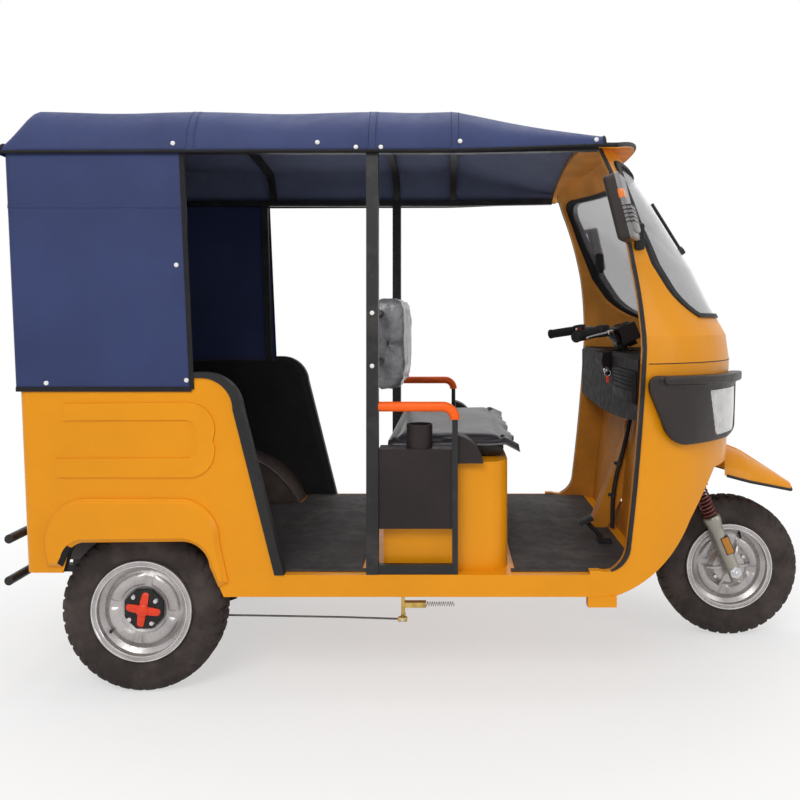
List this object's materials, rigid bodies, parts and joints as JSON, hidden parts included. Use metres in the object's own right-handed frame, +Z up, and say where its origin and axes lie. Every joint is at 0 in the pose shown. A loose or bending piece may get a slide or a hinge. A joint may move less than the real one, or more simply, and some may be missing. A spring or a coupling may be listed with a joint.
{
  "type": "electric passenger three-wheeler",
  "caption": "Open-sided electric passenger three-wheeler with a steered front wheel, handlebar, rounded cab, driver's bench and fabric roof over a rear passenger space.",
  "frame": {"origin": "on the ground, under the middle of the bounding box", "axes": "+X forward, +Y to the left, +Z up"},
  "size_m": [2.8302, 1.4842, 1.941],
  "materials": {
    "body_yellow": "gloss paint",
    "black_paint": "satin paint",
    "black_plastic": "grained",
    "trim_rubber": "matt",
    "mat_rubber": "ribbed",
    "canopy_vinyl": "coated cloth",
    "clear_film": "clear",
    "screen_glass": "clear",
    "lens_clear": "moulded",
    "lamp_red": "moulded lens",
    "mirror_glass": "silvered",
    "pod_grey": "grained",
    "arm_orange": "gloss paint",
    "seat_cloth": "vinyl",
    "tyre_rubber": "road tyre",
    "rim_silver": "silver paint",
    "fork_silver": "cast",
    "spring_red": "paint",
    "zinc_gold": "passivated zinc",
    "motor_grey": "painted casting",
    "battery_case": "moulded"
  },
  "bodies": {
    "chassis": {"roof_brow": "body_yellow", "cab_upper_shell": "body_yellow", "cab_lower_shell": "body_yellow", "steering_head": "body_yellow", "floor_pan": "body_yellow", "front_mudguard": "body_yellow", "seat_box": "body_yellow", "rear_side_right": "body_yellow", "rear_side_left": "body_yellow", "rear_panel": "body_yellow", "toe_board": "body_yellow", "b_pillars": "black_paint", "backrest_bars": "black_paint", "arm_posts": "black_paint", "roof_frame": "black_paint", "roof_bows": "black_paint", "chassis_rails": "black_paint", "cross_members": "black_paint", "rear_bumper": "black_paint", "rear_axle": "black_paint", "leaf_springs": "black_paint", "wheel_housings": "black_paint", "brake_pedal": "black_paint", "wiper": "black_paint", "dashboard": "black_plastic", "seat_side_panels": "black_plastic", "cup_holder": "black_plastic", "windscreen_seal": "trim_rubber", "cab_edge_trims": "trim_rubber", "rear_edge_trims": "trim_rubber", "floor_mats": "mat_rubber", "canopy_roof": "canopy_vinyl", "side_curtains": "canopy_vinyl", "rear_curtain": "canopy_vinyl", "rear_window": "clear_film", "windscreen": "screen_glass", "headlamp_lenses": "lens_clear", "tail_lamps": "lamp_red", "mirror_glasses": "mirror_glass", "headlamp_pods": "pod_grey", "mirrors": "pod_grey", "armrests": "arm_orange", "driver_cushion": "seat_cloth", "driver_backrest": "seat_cloth", "brake_linkage": "zinc_gold", "drive_motor": "motor_grey", "battery_pack": "battery_case"},
    "steering": {"steering_stem": "black_paint", "fork_sliders": "fork_silver", "fork_springs": "spring_red", "handlebar": "black_paint", "instrument_pod": "black_plastic"},
    "front_wheel": {"front_rim": "rim_silver", "front_tyre": "tyre_rubber"},
    "rear_wheel_right": {"rear_right_rim": "rim_silver", "rear_right_tyre": "tyre_rubber"},
    "rear_wheel_left": {"rear_left_rim": "rim_silver", "rear_left_tyre": "tyre_rubber"}
  },
  "joints": [
    {"name": "steering", "type": "hinge", "parent": "chassis", "child": "steering", "pos_m": [1.104, 0, 0.268], "axis": [-0.3907, 0, 0.9205], "range_deg": [-40, 40]},
    {"name": "front_wheel_spin", "type": "hinge", "parent": "steering", "child": "front_wheel", "pos_m": [1.147, 0, 0.268], "axis": [0, 1, 0], "continuous": true},
    {"name": "rear_wheel_right_spin", "type": "hinge", "parent": "chassis", "child": "rear_wheel_right", "pos_m": [-0.946, -0.455, 0.268], "axis": [0, 1, 0], "continuous": true},
    {"name": "rear_wheel_left_spin", "type": "hinge", "parent": "chassis", "child": "rear_wheel_left", "pos_m": [-0.946, 0.455, 0.268], "axis": [0, 1, 0], "continuous": true}
  ]
}
